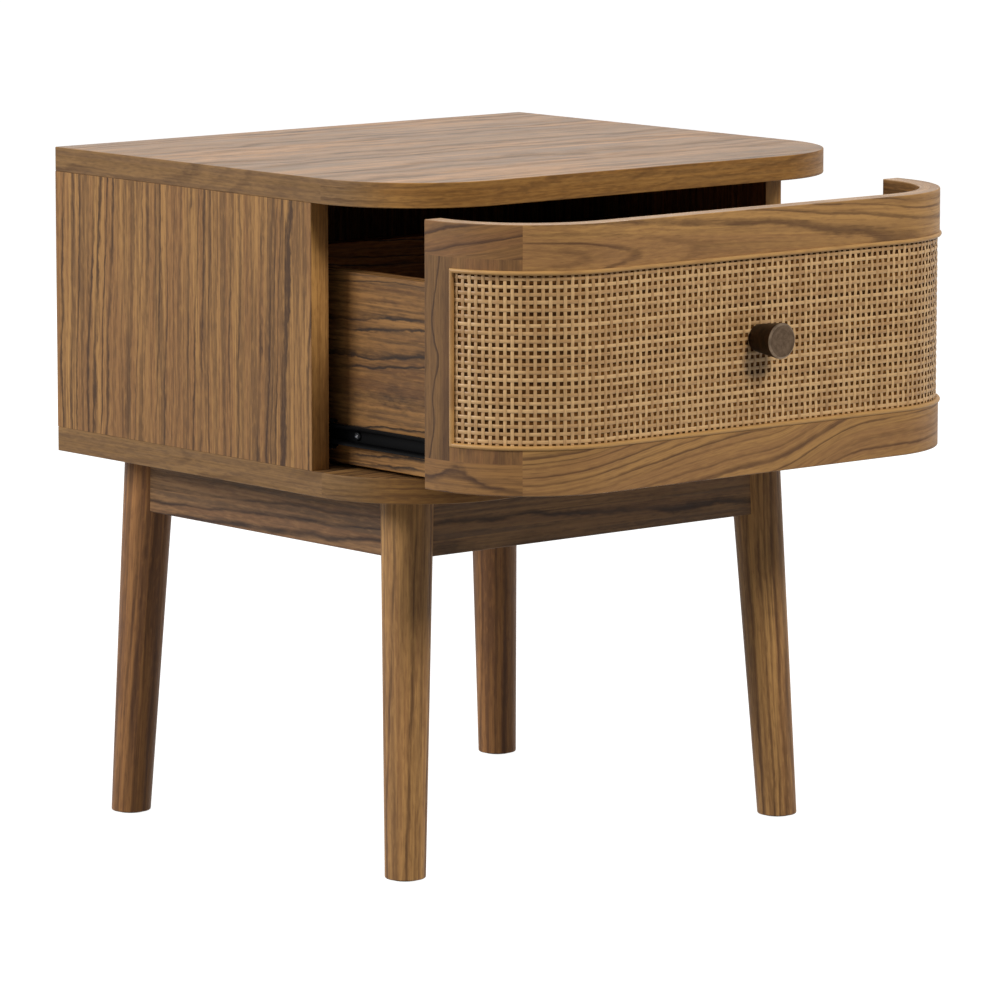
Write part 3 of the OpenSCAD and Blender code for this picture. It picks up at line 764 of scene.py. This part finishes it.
drawerShape = {
    "radius": 87 * mm,
    "thick": 15 * mm,
    "ease": 0.8 * mm,
    "windowLow": 33.2 * mm,      # window's edges, measured from the front's lower edge
    "windowHigh": 153.8 * mm,
    "windowEnd": 11.5,           # degrees round the corner
    "seam": 46.5,                # where the corner's veneer ends, in degrees
    "recess": 2.6 * mm,
    "reed": 1.6 * mm,            # half the reed's width
    "stripLow": 22 * mm,         # where the corner veneer's grain turns upright
    "stripHigh": 163 * mm,
    "middle": 90 * mm,           # between the upper strip's veneer and the lower one's
    "bendSteps": 40,
    "flatSteps": 28,
}

# heights and lengths of the veneer's figure, the lengths from the seam
frontFigure = {
    "tongue": 163 * mm,          # the upper strip's heart, which the rings close on
    "tongueSinks": 10 * mm,
    "tongueRun": (0.12, 0.4),
    "tongueOpens": (0.08, 0.15),         # how fast the rings spread, and for how long
    "climbHeight": 60 * mm,      # the lower strip's heart lies this far under it
    "climb": 0.06,               # and rises this fast
    "climbStep": 22 * mm,
    "climbRun": (0.21, 0.31),
    "spread": (1.3, 0.3, 0.2),   # how wide the rings are at the seam, how much of it goes, and where
    "cornerRise": 0.2,           # of the upper corners' grain, backward
    "flatHeart": 0.004,          # how deep the lower strip's heart lies
    "hearts": {                  # how high, or how far along, and how deep the other hearts lie
        "inner": (0.05, 0.03),
        "rim": (0, 0.05),
        "recess": (0, 0.06),
        "upright": (0.045, 0.03),
        "face": (0.02, 0.014),
    },
}

frontFinishes = ["front", "corner", "box", "rim", "recess", "stile"]


class Front:
    def __init__(self):
        self.x0, self.y0, self.z0, self.x1, self.y1, self.z1 = panelBox("drawer_front")
        self.radius = drawerShape["radius"]
        self.side = self.y1 - self.y0 - self.radius
        self.bend = self.radius * math.pi / 2
        self.flat = self.x1 - self.x0 - 2 * self.radius
        self.length = 2 * (self.side + self.bend) + self.flat
        self.windowStart = self.side + self.radius * math.radians(drawerShape["windowEnd"])
        self.seam = self.side + self.radius * math.radians(drawerShape["seam"])

    # the outer face's place and inward direction, a length s from the left return's end
    def at(self, s):
        if s > self.length / 2:
            place, inward = self.at(self.length - s)
            return Vector((-place.x, place.y)), Vector((-inward.x, inward.y))
        if s <= self.side:
            return Vector((self.x0, self.y1 - s)), Vector((1, 0))
        if s < self.side + self.bend:
            a = (s - self.side) / self.radius
            inward = Vector((math.cos(a), math.sin(a)))
            centre = Vector((self.x0 + self.radius, self.y0 + self.radius))
            return centre - inward * self.radius, inward
        return Vector((self.x0 + self.radius + s - self.side - self.bend, self.y0)), Vector((0, 1))

    # the corners' veneer lies beyond the seams
    def cornered(self, s):
        return s < self.seam or s > self.length - self.seam

    def point(self, s, depth, z):
        place, inward = self.at(s)
        place = place + inward * depth
        return (place.x, place.y, z)

    def stations(self, low, high, extra=()):
        marks = {low, high, self.length / 2, *extra}
        steps = drawerShape["bendSteps"]
        for start in (self.side, self.length - self.side - self.bend):
            marks |= {start + self.bend * k / steps for k in range(steps + 1)}
        kept = sorted(m for m in marks if low - 1e-9 <= m <= high + 1e-9)
        return [m for i, m in enumerate(kept) if i == 0 or m - kept[i - 1] > 1e-6]


def makeFront(front):
    thick = drawerShape["thick"]
    ease = drawerShape["ease"]
    z0, z1 = front.z0, front.z1
    reed = drawerShape["reed"]
    windowLow = z0 + drawerShape["windowLow"] - reed
    windowHigh = z0 + drawerShape["windowHigh"] + reed
    stripLow = z0 + drawerShape["stripLow"]
    stripHigh = z0 + drawerShape["stripHigh"]
    start = front.windowStart - reed

    # depth and height round the section, from the inner face's foot
    profile = [(thick - ease + ease * math.cos(a), z0 + ease - ease * math.sin(a)) for a in quarter]
    profile += [(ease - ease * math.sin(a), z0 + ease - ease * math.cos(a)) for a in quarter]
    profile += [(0, stripLow), (0, windowLow), ("recess", windowLow)]
    profile += [("recess", windowHigh), (0, windowHigh), (0, stripHigh)]
    profile += [(ease - ease * math.cos(a), z1 - ease + ease * math.sin(a)) for a in quarter]
    profile += [(thick - ease + ease * math.sin(a), z1 - ease + ease * math.cos(a)) for a in quarter]

    # a section's place along the front, how far it draws in, and whether it has the recess
    shape = Shape()
    sections = []
    ends = [(ease * (1 - math.cos(a)), ease * (1 - math.sin(a))) for a in quarter]
    steps = drawerShape["flatSteps"]
    flat = [front.side + front.bend + front.flat * k / steps for k in range(steps + 1)]
    marks = front.stations(ease * 1.01, front.length - ease * 1.01,
                           (start, front.length - start, front.seam, front.length - front.seam, *flat))
    plan = [(s, inset, 0) for s, inset in ends]
    for s in marks:
        if abs(s - start) < 1e-7:
            plan += [(s, 0, 0), (s, 0, 1)]
        elif abs(s - front.length + start) < 1e-7:
            plan += [(s, 0, 1), (s, 0, 0)]
        else:
            plan.append((s, 0, 1 if start < s < front.length - start else 0))
    plan += [(front.length - s, inset, 0) for s, inset in reversed(ends)]
    for s, inset, opened in plan:
        ring = []
        for d, z in profile:
            if d == "recess":
                d = drawerShape["recess"] * opened
            d = min(max(d, inset), thick - inset)
            z = min(max(z, z0 + inset), z1 - inset)
            ring.append(front.point(s, d, z))
        sections.append((s, shape.add(ring)))

    # a point's grain, board and finish on each kind of face
    def rule(s, d, z, mid, kind):
        upper = z - z0 > drawerShape["middle"]
        heart, deep = frontFigure["hearts"][kind]
        if kind == "inner":
            return (s, z - z0 - heart, d + deep), 31, "box"
        if kind == "rim":
            return (s, d, deep), 32, "rim"
        if kind == "recess":
            return (s, z - z0, deep), 33, "recess"
        if kind == "upright":
            stile = mid < start or mid > front.length - start
            return (z, s - heart, deep), 34 + (mid > front.seam), "stile" if stile else "corner"
        if front.cornered(mid):
            return (s, z - z0 - heart - frontFigure["cornerRise"] * s * upper, deep), 36 + upper, "corner"
        run = s - front.seam
        if upper:
            # rings that close in a tongue, then follow the strip
            sunk = frontFigure["tongueSinks"] * smooth(run, *frontFigure["tongueRun"])
            opens, stops = frontFigure["tongueOpens"]
            return (s, z - z0 - frontFigure["tongue"] + sunk, opens * min(run, stops)), 38, "front"
        # rings that climb across the strip, steepest past its middle
        climb = z - z0 + frontFigure["climbHeight"] - frontFigure["climb"] * run
        climb -= frontFigure["climbStep"] * smooth(run, *frontFigure["climbRun"])
        wide, lost, place = frontFigure["spread"]
        return (s, climb * (wide - lost * smooth(run, 0, place)), frontFigure["flatHeart"]), 38.5, "front"

    count = len(profile)
    for (s0, a), (s1, b) in zip(sections, sections[1:]):
        mid = (s0 + s1) / 2
        for i in range(count):
            j = (i + 1) % count
            d0, za = profile[i]
            d1, zb = profile[j]
            level = (za + zb) / 2
            if i == count - 1:
                kind = "inner"
            elif "recess" in (d0, d1) and start - 1e-6 < mid < front.length - start + 1e-6:
                kind = "recess"
            elif i in range(2, 5) or i > count - 7:     # the lower and the upper edge
                kind = "rim"
            elif front.cornered(mid) and stripLow < level < stripHigh:
                kind = "upright"
            else:
                kind = "face"
            corners = [a[i], b[i], b[j], a[j]]
            spots = [(s0, d0, za), (s1, d0, za), (s1, d1, zb), (s0, d1, zb)]
            grains = []
            for s, d, z in spots:
                d = drawerShape["recess"] if d == "recess" else d
                grains.append(rule(s, d, z, mid, kind))
            shape.face(corners[::-1], [g[0] for g in grains][::-1], grains[0][1],
                       frontFinishes.index(grains[0][2]))
    for ring in (sections[0][1], sections[-1][1][::-1]):
        grains = [(shape.points[c][2], shape.points[c][0], 0.1) for c in ring]
        shape.face(ring, grains, 39, frontFinishes.index("corner"))
    shape.build("drawer_front_wood", frontFinishes, "drawer", ["drawer_front"], "walnut_veneer")


boxShape = {
    "ease": 0.8 * mm,
    "copeSteps": 8,              # on the sides' front ends, which follow the bend
    "bottomSteps": 12,
    "sideHeart": (0.25, 0.05),   # from the middle, and from the lower edge
    "backHeart": (-0.03, 0.06),  # from the face and the lower edge, as the bottom's is
    "bottomHeart": (-0.1, 0.03),
}


def makeBox(front):
    inner = front.radius - drawerShape["thick"]
    steps = boxShape["copeSteps"]
    for side, name in ((-1, "drawer_side_left"), (1, "drawer_side_right")):
        x0, y0, z0, x1, y1, z1 = panelBox(name)
        outerX, innerX = (x0, x1) if side < 0 else (x1, x0)
        centreX = side * (front.x1 - front.radius)
        centreY = front.y0 + front.radius
        cope = []
        for k in range(steps + 1):
            x = outerX + (innerX - outerX) * k / steps
            cope.append(Vector((x, centreY - math.sqrt(inner ** 2 - (x - centreX) ** 2))))
        plan = cope + [Vector((innerX, y1)), Vector((outerX, y1))]
        if side > 0:
            plan.reverse()
        grain = along("y", (side * boxShape["sideHeart"][0], z0 + boxShape["sideHeart"][1]), 40 + side)
        shape = slab(plan, z0, z1, boxShape["ease"], grain)
        shape.build(name + "_wood", ["box"], "drawer", [name], "walnut_veneer")
    x0, y0, z0, x1, y1, z1 = panelBox("drawer_back")
    grain = along("x", (y0 + boxShape["backHeart"][0], z0 + boxShape["backHeart"][1]), 43)
    shape = slab(rectangle(x0, y0, x1, y1), z0, z1, boxShape["ease"], grain)
    shape.build("drawer_back_wood", ["box"], "drawer", ["drawer_back"], "walnut_veneer")


def makeDrawerBottom(front):
    x0, y0, z0, x1, y1, z1 = panelBox("drawer_bottom")
    inner = front.y0 + front.radius - y0
    centreX = front.x1 - front.radius
    centreY = front.y0 + front.radius
    widest = math.asin((x1 - centreX) / inner)
    steps = boxShape["bottomSteps"]
    turns = [widest * k / steps for k in range(steps + 1)]
    bend = [(centreX + inner * math.sin(a), centreY - inner * math.cos(a)) for a in turns]
    plan = [Vector((-x, y)) for x, y in reversed(bend)] + [Vector(p) for p in bend]
    plan += [Vector((x1, y1)), Vector((x0, y1))]
    grain = along("x", (y0 + boxShape["bottomHeart"][0], z0 + boxShape["bottomHeart"][1]), 45)
    shape = slab(plan, z0, z1, caseShape["panelEase"], grain)
    shape.build("drawer_bottom_sheet", ["plywood"], "drawer", ["drawer_bottom"], "pale_wood")


caneShape = {
    "pitch": 5.35 * mm,
    "margin": 3.0 * mm,          # from the window's end to the first column
    "width": 2.52 * mm,
    "widths": (0.92, 1.06),      # the least and most of it that a strand has
    "thick": 0.5 * mm,
    "depth": 1.95 * mm,          # of the weave's middle under the front's face
    "lift": 0.27 * mm,
    "steps": 4,                  # to each crossing
    "shift": 0.10 * mm,          # how far a strand strays
    "seed": 11,
}

# width and thickness round a strand, in shares of them
strandSection = [(-0.5, 0.0), (-0.32, 0.4), (0.0, 0.5), (0.32, 0.4), (0.5, 0.0), (0.32, -0.4), (-0.32, -0.4)]


def strand(shape, path, width, board):
    thick = caneShape["thick"]
    rings = []
    for centre, across, out, _ in path:
        rings.append(shape.add([centre + across * (a * width) + out * (b * thick) for a, b in strandSection]))
    for k, i, j, corners in bands(rings):
        u0, u1 = path[k][3], path[k + 1][3]
        va, vb = strandSection[i][0] * width, strandSection[j][0] * width
        shape.face(corners, [(u0, va, 0), (u0, vb, 0), (u1, vb, 0), (u1, va, 0)], board)


def makeCane(front):
    rng = random.Random(caneShape["seed"])
    pitch = caneShape["pitch"]
    half = drawerShape["reed"]
    z0 = front.z0 + drawerShape["windowLow"]
    z1 = front.z0 + drawerShape["windowHigh"]
    s0 = front.windowStart
    s1 = front.length - s0
    rows = int((z1 - z0 - 2 * half) / pitch) + 1
    firstColumn = s0 + caneShape["margin"]
    span = s1 - s0 - 2 * caneShape["margin"]
    columns = round(span / pitch) + 1
    columnPitch = span / (columns - 1)
    firstRow = (z0 + z1 - (rows - 1) * pitch) / 2
    up = Vector((0, 0, 1))
    shape = Shape()

    # a place in the weave, with the directions out of it and along the front
    def place(s, depth, z):
        spot = Vector(front.point(s, depth, z))
        inward = front.at(s)[1]
        out = Vector((-inward.x, -inward.y, 0))
        return spot, out, Vector((-out.y, out.x, 0))

    def wave(t, first, gap, number):
        return caneShape["lift"] * math.cos(math.pi * (t - first) / gap) * (-1) ** number

    # a strand from low to high, where at gives its middle and its directions at a length along it
    def lay(low, high, board, at):
        count = int((high - low) / pitch * caneShape["steps"])
        path = [at(low + (high - low) * k / count) for k in range(count + 1)]
        strand(shape, path, caneShape["width"] * rng.uniform(*caneShape["widths"]), board)
    for r in range(rows):
        z = firstRow + r * pitch + rng.uniform(-1, 1) * caneShape["shift"]

        def level(s):
            spot, out, _ = place(s, caneShape["depth"] - wave(s, firstColumn, columnPitch, r), z)
            return spot, up, out, s
        lay(s0, s1, 50 + r, level)
    for c in range(columns):
        s = firstColumn + c * columnPitch + rng.uniform(-1, 1) * caneShape["shift"]

        def upright(z):
            spot, out, side = place(s, caneShape["depth"] + wave(z, firstRow, pitch, c), z)
            return spot, side, out, z
        lay(z0, z1, 100 + c, upright)
    shape.build("cane_weave", ["cane"], "drawer", ["cane_webbing"], "cane", sharp=70)
    print("cane woven:", rows, "by", columns, "strands")


reedShape = {
    "proud": 1.4 * mm,
    "seat": -1.4 * mm,
    "gap": 0.05 * mm,            # open in the mitres
    "straight": 1.2,             # where a mitre has ended, in half widths of the reed
    "turns": 10,
    "uprightSteps": 12,
}


def makeReeds(front):
    half = drawerShape["reed"]
    proud = reedShape["proud"]
    gap = reedShape["gap"]
    arc = [math.pi * k / reedShape["turns"] for k in range(reedShape["turns"] + 1)]
    section = [(half, reedShape["seat"])]
    section += [(half * math.cos(a), proud - half + half * math.sin(a)) for a in arc]
    section += [(-half, reedShape["seat"])]
    z0 = front.z0 + drawerShape["windowLow"]
    z1 = front.z0 + drawerShape["windowHigh"]
    s0 = front.windowStart
    s1 = front.length - s0

    # one strip on the window's edge: outward is 1 or -1, and marks are the places along it
    def strip(name, edge, outward, low, marks, high, upright, board):
        stations = [(low + gap, -1)] + [(mark, 0) for mark in marks] + [(high - gap, 1)]

        # where a point of the section lies along the front, and how high
        def spot(station, q):
            mark, mitre = station
            pair = (mark + mitre * q, edge + outward * q)
            return pair[::-1] if upright else pair
        shape = Shape()
        rings = []
        for station in stations:
            ring = []
            for q, h in section:
                s, z = spot(station, q)
                ring.append(front.point(s, -h, z))
            rings.append(shape.add(ring))
        for k, i, j, corners in bands(rings):
            grains = []
            for m, n in ((k, i), (k, j), (k + 1, j), (k + 1, i)):
                q, h = section[n]
                grains.append((sum(spot(stations[m], q)), q + 0.3 * h, 0))
            shape.face(corners, grains, board)
        for ring in (rings[0][::-1], rings[-1]):
            shape.face(ring, [(0, 0, 0)] * len(ring), board)
        return shape.build(name, ["reed"], "drawer", [], "reed")

    clear = half * reedShape["straight"]
    steps = reedShape["uprightSteps"]
    middle = front.stations(s0 + clear, s1 - clear)
    heights = [z0 + clear + (z1 - z0 - 2 * clear) * k / steps for k in range(steps + 1)]
    top = strip("reed_top", z1, 1, s0, middle, s1, False, 200)
    strip("reed_bottom", z0, -1, s0, middle, s1, False, 203)
    strip("reed_left", s0, -1, z0, heights, z1, True, 206)
    strip("reed_right", s1, 1, z0, heights, z1, True, 209)
    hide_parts("reed_border")


knobShape = {
    "footRadius": 9.7 * mm,
    "footEase": 0.4 * mm,
    "radius": 12.6 * mm,
    "bevel": 1.2 * mm,
    "bevelRound": (0.15, 0.12 * mm, 0.1 * mm),   # up the bevel, in from the side, back from the face
    "lip": 0.25 * mm,            # how far in the bevel runs level
    "dish": 0.25 * mm,           # how far the face is hollowed
    "turns": 96,
    "flareSteps": 8,
    "dishSteps": 6,
}


def makeKnob():
    x0, y0, z0, x1, y1, z1 = panelBox("knob")
    centre = Vector(((x0 + x1) / 2, 0, (z0 + z1) / 2))
    long = y1 - y0
    r = knobShape["radius"]
    foot = knobShape["footRadius"]
    ease = knobShape["footEase"]
    bevel = knobShape["bevel"]

    # radius and distance from the drawer front, up the side and then in over the face
    profile = [(0, 0), (foot - ease, 0), (foot, ease)]
    steps = knobShape["flareSteps"]
    for k in range(1, steps + 1):
        share = k / steps
        profile.append((foot + (r - foot) * share, (long - 2 * bevel) * share))
    up, into, back = knobShape["bevelRound"]
    profile.append((r, long - bevel * (1 + up)))
    sideEnds = len(profile) - 1
    face = r - bevel - knobShape["lip"]
    profile += [(r - into, long - bevel * (1 - up)), (r - bevel, long - back), (face, long)]
    faceStarts = len(profile) - 1
    steps = knobShape["dishSteps"]
    for k in range(1, steps + 1):
        share = k / steps
        profile.append((face * (1 - share), long - knobShape["dish"] * (1 - (1 - share) ** 2)))
    away = [0]
    for a, b in zip(profile, profile[1:]):
        away.append(away[-1] + math.hypot(b[0] - a[0], b[1] - a[1]))
    shape = Shape()
    rings = []
    for radius, out in profile:
        rings.append(shape.add([(centre.x + radius * math.cos(a), y1 - out, centre.z + radius * math.sin(a))
                                for a in turned(knobShape["turns"])]))
    for k, t, _, corners in bands(rings):
        a, b = (2 * math.pi * turn / knobShape["turns"] for turn in (t, t + 1))
        grains = [(a, away[k], 0), (b, away[k], 0), (b, away[k + 1], 0), (a, away[k + 1], 0)]
        # the bevel between side and face takes the painted-highlight bronze
        shape.face(corners, grains, 1, 1 if k < sideEnds else 2 if k < faceStarts else 0)
    shape.build("knob_turned", ["bronze", "bronzeSide", "bronzeHighlightEdge"], "drawer", ["knob"], "dark_bronze",
                sharp=30)


screwShape = {
    "radius": 3.2 * mm,
    "head": [(1, 0), (1, 0.35), (0.95, 0.62), (0.8, 0.88), (0.55, 1)],     # shares of radius and height
    "armLong": 1.5 * mm,         # half the cross's length
    "armWide": 0.42 * mm,        # half an arm's width
    "turn": 0.4,                 # how far the cross is turned
    "sunk": 0.6 * mm,
    "turns": 48,
    "level": 0.02 * mm,          # how flat a crown is
}


# pan heads with a cross recess, on the drawer's runners; the recess takes bright zinc, a painted glint in the
# black head
def makeRunnerScrews():
    points = [v.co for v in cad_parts["drawer_runner_screws"].data.vertices]
    r = screwShape["radius"]
    head = screwShape["head"]
    long, wide, turn = screwShape["armLong"], screwShape["armWide"], screwShape["turn"]
    angles = turned(screwShape["turns"])
    shape = Shape()
    for side in (-1, 1):
        # find the heads: how far they stand out, and where their crowns are along the runner
        mine = [p for p in points if p.x * side > 0]
        crown = max(p.x * side for p in mine)
        marks = sorted({round(p.y, 4) for p in mine if crown - p.x * side < screwShape["level"]})
        groups = []
        for y in marks:
            if not groups or y - groups[-1][-1] > 3 * r:
                groups.append([])
            groups[-1].append(y)
        z = (min(p.z for p in mine) + max(p.z for p in mine)) / 2
        under = min(p.x * side for p in mine if abs(p.z - z) > 0.8 * r)
        tall = crown - under
        for group in groups:
            y = (group[0] + group[-1]) / 2
            rings = []
            for radius, out in ((r * part, tall * rise) for part, rise in head):
                rings.append(shape.add([(side * (under + out), y + radius * math.cos(a),
                                         z + radius * math.sin(a)) for a in angles]))
            for out in (tall, tall - screwShape["sunk"]):
                cross = []
                for a in angles:
                    c = max(abs(math.cos(a + turn)), 1e-6)
                    s = max(abs(math.sin(a + turn)), 1e-6)
                    radius = max(min(long / c, wide / s), min(wide / c, long / s))
                    cross.append((side * (under + out), y + radius * math.cos(a), z + radius * math.sin(a)))
                rings.append(shape.add(cross))
            for k, _, _, corners in bands(rings):
                # the cross recess takes the zinc: painted glint
                shape.face(corners if side > 0 else corners[::-1], [(0, 0, 0)] * 4, 1, int(k >= len(head)))
            for ring, flip in ((rings[0], side > 0), (rings[-1], side < 0)):
                shape.face(ring[::-1] if flip else ring, [(0, 0, 0)] * len(ring), 1, int(ring is rings[-1]))
    shape.build("runner_screw_heads", ["blackScrew", "zinc"], "drawer", ["drawer_runner_screws"],
                "zinc_plate", sharp=30)


def dressCarried():
    plain = {
        "beech": ["case_dowels", "corner_blocks", "drawer_dowels"],
        "zinc": ["leg_bolts", "leg_nuts", "base_screws", "case_runner_screws", "knob_screw",
                 "ball_cage_left", "ball_cage_right"],
        "blackSteel": ["case_runner_left", "case_runner_right", "drawer_runner_left", "drawer_runner_right"],
        "balls": ["runner_balls_left", "runner_balls_right"],
        "nylon": ["foot_glides"],
    }
    for finish, names in plain.items():
        for name in names:
            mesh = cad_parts[name].data
            mesh.materials.clear()
            mesh.materials.append(finishes[finish])


front = Front()
makeFront(front)
makeBox(front)
makeDrawerBottom(front)
makeCane(front)
makeReeds(front)
makeKnob()
makeRunnerScrews()
dressCarried()
print("drawer made")
